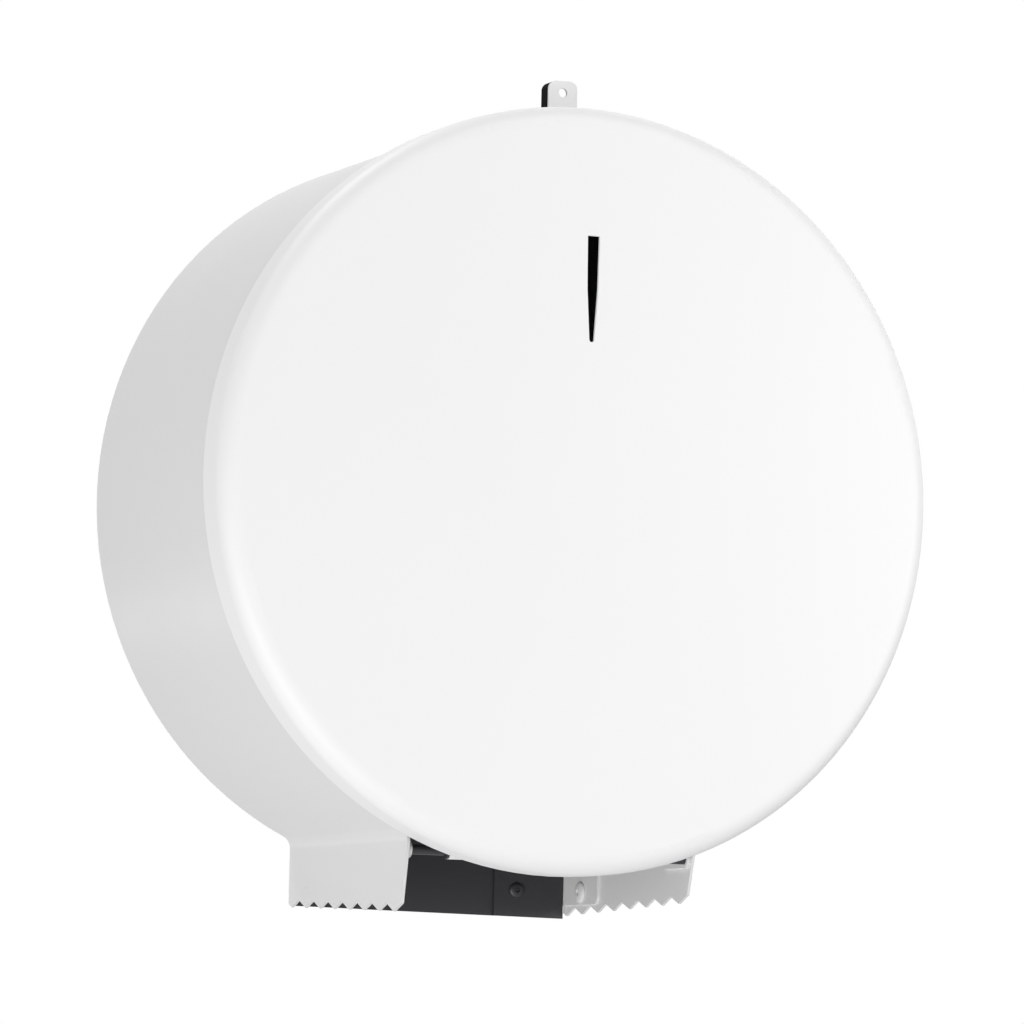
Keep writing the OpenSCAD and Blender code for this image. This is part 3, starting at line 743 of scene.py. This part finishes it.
class DISPENSER_OT_foot_rivets(bpy.types.Operator):
    """Models the three blind rivets through the spindle's foot"""
    bl_idname = "dispenser.foot_rivets"
    bl_label = "Foot Rivets"

    def execute(self, context):
        sizes = context.scene.dispenser_fasteners
        low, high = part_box("foot_rivets")
        pitch_r = high.z - sizes.rivet_head_r
        seat_y = low.y + sizes.head_h
        shank_len = high.y - low.y - sizes.head_h
        for i in range(FOOT_RIVETS):
            angle = math.radians(90 + 360 / FOOT_RIVETS * i)
            rivet = model_blind_rivet(
                f"foot_rivet_{i + 1}", sizes.rivet_head_r, sizes.rivet_r, shank_len)
            place = (pitch_r * math.cos(angle), seat_y, pitch_r * math.sin(angle))
            settle(rivet, (math.radians(90), 0, 0), place)
            finish_piece(rivet, "case", rivet_steel())
            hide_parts("foot_rivets")
        return {"FINISHED"}


class DISPENSER_OT_end_screw(bpy.types.Operator):
    """Models the hexagon socket screw on the end of the spindle"""
    bl_idname = "dispenser.end_screw"
    bl_label = "End Screw"

    def execute(self, context):
        low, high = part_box("end_screw")
        seat_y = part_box("end_washer")[0].y
        head_r = high.x
        head_h = seat_y - low.y
        shank_len = high.y - seat_y
        shank_r, edge = END_SCREW_SHANK_R, END_SCREW_EDGE
        rings = [(shank_r - edge, -shank_len), (shank_r, -shank_len + edge), (shank_r, 0),
                 (head_r - edge, 0), (head_r, edge)] + head_rings(BUTTON_HEAD, head_r, head_h)
        screw = stack_of_rings(
            "end_screw_detailed", rings, context.scene.dispenser_fasteners.sides)
        clear_selection()
        bpy.ops.mesh.primitive_cylinder_add(
            vertices=6, radius=head_r * END_SCREW_SOCKET, depth=head_h, location=(0, 0, head_h))
        socket = context.object
        apply_place()
        cut_with(screw, socket)
        settle(screw, (math.radians(90), 0, 0), (0, seat_y, 0))
        finish_piece(screw, "case", rivet_steel())
        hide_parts("end_screw")
        return {"FINISHED"}


class DISPENSER_OT_lug_screw(bpy.types.Operator):
    """Models the cross-slot screw that holds the lock lug"""
    bl_idname = "dispenser.lug_screw"
    bl_label = "Lug Screw"

    def execute(self, context):
        low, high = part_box("lug_screw")
        head_r = (high.x - low.x) / 2
        head_h, shank_r = LUG_SCREW_HEAD_H, LUG_SCREW_SHANK_R
        shank_len = high.z - low.z - head_h
        rings = [(shank_r * 0.7, -shank_len), (shank_r, -shank_len + 0.5 * MM), (shank_r, 0),
                 (head_r * 0.96, 0), (head_r, 0.15 * MM)] + head_rings(PAN_HEAD, head_r, head_h)
        screw = stack_of_rings(
            "lug_screw_detailed", rings, context.scene.dispenser_fasteners.sides)
        for turn in (0, 90):
            clear_selection()
            bpy.ops.mesh.primitive_cube_add(size=1, location=(0, 0, head_h))
            slot = context.object
            slot.scale = (head_r * 1.1, LUG_SCREW_SLOT_W, head_h * 0.9)
            slot.rotation_euler.z = math.radians(turn)
            apply_place()
            cut_with(screw, slot)
        settle(screw, (math.radians(180), 0, 0), (0, (low.y + high.y) / 2, low.z + head_h))
        finish_piece(screw, "case", rivet_steel())
        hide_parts("lug_screw")
        return {"FINISHED"}


class DISPENSER_OT_weld_marks(bpy.types.Operator):
    """Models the spot welds that hold the hinge leaves and the rod brackets"""
    bl_idname = "dispenser.weld_marks"
    bl_label = "Weld Marks"

    def execute(self, context):
        radius = context.scene.dispenser_fasteners.weld_r
        for sign, side in ((-1, "left"), (1, "right")):
            low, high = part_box(f"hinge_leaf_{side}")
            centre_x = (low.x + high.x) / 2
            for i, drop in enumerate(LEAF_WELD_DROPS):
                weld_mark(f"leaf_weld_{side}_{i + 1}", radius, (math.radians(-90), 0, 0),
                          (centre_x, low.y + LEAF_T, high.z - drop), "lid", lid_coat())
            low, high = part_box(f"hinge_bracket_{side}")
            face_x = low.x if side == "right" else high.x
            for i, reach in enumerate(BRACKET_WELD_REACHES):
                weld_mark(f"bracket_weld_{side}_{i + 1}", radius * BRACKET_WELD_SHARE,
                          (0, math.radians(-90 * sign), 0),
                          (face_x, high.y - reach, (low.z + high.z) / 2), "case", drum_coat())
        return {"FINISHED"}


# Stage ------------------------------------------------------------------------------

def seen_directly(tree):
    """One where a camera, glossy or transmitted ray looks, and zero for the light itself."""
    path = add(tree, "LightPath")
    first = add(tree, "Math", operation="MAXIMUM")
    second = add(tree, "Math", operation="MAXIMUM")
    join(tree, path.outputs["Is Camera Ray"], first.inputs[0])
    join(tree, path.outputs["Is Glossy Ray"], first.inputs[1])
    join(tree, first.outputs[0], second.inputs[0])
    join(tree, path.outputs["Is Transmission Ray"], second.inputs[1])
    return second.outputs[0]


def level_when_seen(tree, lit, seen):
    """One value for the light itself, and another where a ray looks directly."""
    level = add(tree, "MapRange", {"To Min": lit, "To Max": seen})
    join(tree, seen_directly(tree), level.inputs["Value"])
    return level.outputs[0]


def light_world(strength):
    """Even light from all round, which a ray that looks at it sees as white."""
    world = bpy.data.worlds.new("studio")
    bpy.context.scene.world = world
    world.use_nodes = True
    tree = world.node_tree
    background = tree.nodes["Background"]
    background.inputs["Color"].default_value = (1, 1, 1, 1)
    join(tree, level_when_seen(tree, strength, 1.0), background.inputs["Strength"])


def lay_floor(height, glow):
    """A plain pale floor, which glows for a ray that looks at it and lights nothing."""
    clear_selection()
    bpy.ops.mesh.primitive_plane_add(size=FLOOR_SIZE, location=(0, 0, height))
    floor = bpy.context.object
    floor.name = "floor"
    apply_place()
    material, tree, shader = new_material("pale_floor")
    shader.inputs["Base Color"].default_value = FLOOR_WHITE
    shader.inputs["Roughness"].default_value = 0.9
    shader.inputs["Specular IOR Level"].default_value = 0.1
    shader.inputs["Emission Strength"].default_value = 1.0
    join(tree, level_when_seen(tree, 0.0, glow), shader.inputs["Emission Color"])
    floor.data.materials.append(material)


def hang_lamp(name, power, size, place, target):
    """A square soft lamp that faces a point."""
    clear_selection()
    bpy.ops.object.light_add(type="AREA", location=place)
    lamp = bpy.context.object
    lamp.name = name
    lamp.data.shape = "SQUARE"
    lamp.data.size = size
    lamp.data.energy = power
    lamp.rotation_euler = (Vector(target) - Vector(place)).to_track_quat("-Z", "Y").to_euler()


class DISPENSER_OT_stage(bpy.types.Operator):
    """Sets the camera, the floor, the lamps and the white surroundings"""
    bl_idname = "dispenser.stage"
    bl_label = "Stage"

    def execute(self, context):
        stage = context.scene.dispenser_stage
        clear_selection()
        bpy.ops.object.camera_add(location=stage.camera_place, rotation=stage.camera_turn)
        camera = context.object
        camera.data.sensor_width = SENSOR_WIDTH
        camera.data.lens = stage.lens
        camera.data.clip_start = CLIP_START
        context.scene.camera = camera
        context.scene.view_settings.view_transform = "Standard"
        lay_floor(stage.floor_z, stage.floor_glow)
        light_world(stage.world_light)
        for name, power, size, place, target in LAMPS:
            hang_lamp(name, getattr(stage, power), size, place, target)
        return {"FINISHED"}


# Panel and registration -------------------------------------------------------------

STEPS = ("coat_lid", "coat_drum", "coat_back", "plate_steel", "mould_hub", "side_rivets",
         "tail_rivets", "foot_rivets", "end_screw", "lug_screw", "weld_marks", "stage")

SETTINGS = {
    "dispenser_coat": CoatSettings,
    "dispenser_metal": MetalSettings,
    "dispenser_plastic": PlasticSettings,
    "dispenser_fasteners": FastenerSettings,
    "dispenser_stage": StageSettings,
}


class DISPENSER_PT_panel(bpy.types.Panel):
    """Lists the settings and the steps"""
    bl_idname = "DISPENSER_PT_panel"
    bl_label = "Dispenser"
    bl_space_type = "VIEW_3D"
    bl_region_type = "UI"
    bl_category = "Dispenser"

    def draw(self, context):
        for group_name in SETTINGS:
            box = self.layout.box()
            group = getattr(context.scene, group_name)
            for key in group.__annotations__:
                box.prop(group, key)
        for step in STEPS:
            self.layout.operator(f"dispenser.{step}")


CLASSES = (
    *SETTINGS.values(),
    DISPENSER_OT_coat_lid, DISPENSER_OT_coat_drum, DISPENSER_OT_coat_back,
    DISPENSER_OT_plate_steel, DISPENSER_OT_mould_hub, DISPENSER_OT_side_rivets,
    DISPENSER_OT_tail_rivets, DISPENSER_OT_foot_rivets, DISPENSER_OT_end_screw,
    DISPENSER_OT_lug_screw, DISPENSER_OT_weld_marks, DISPENSER_OT_stage,
    DISPENSER_PT_panel,
)


def register():
    for item in CLASSES:
        bpy.utils.register_class(item)
    for name, group in SETTINGS.items():
        setattr(bpy.types.Scene, name, PointerProperty(type=group))


def unregister():
    for name in SETTINGS:
        delattr(bpy.types.Scene, name)
    for item in reversed(CLASSES):
        bpy.utils.unregister_class(item)


def main():
    register()
    for step in STEPS:
        getattr(bpy.ops.dispenser, step)()
    clear_selection()


if __name__ == "__main__":
    main()
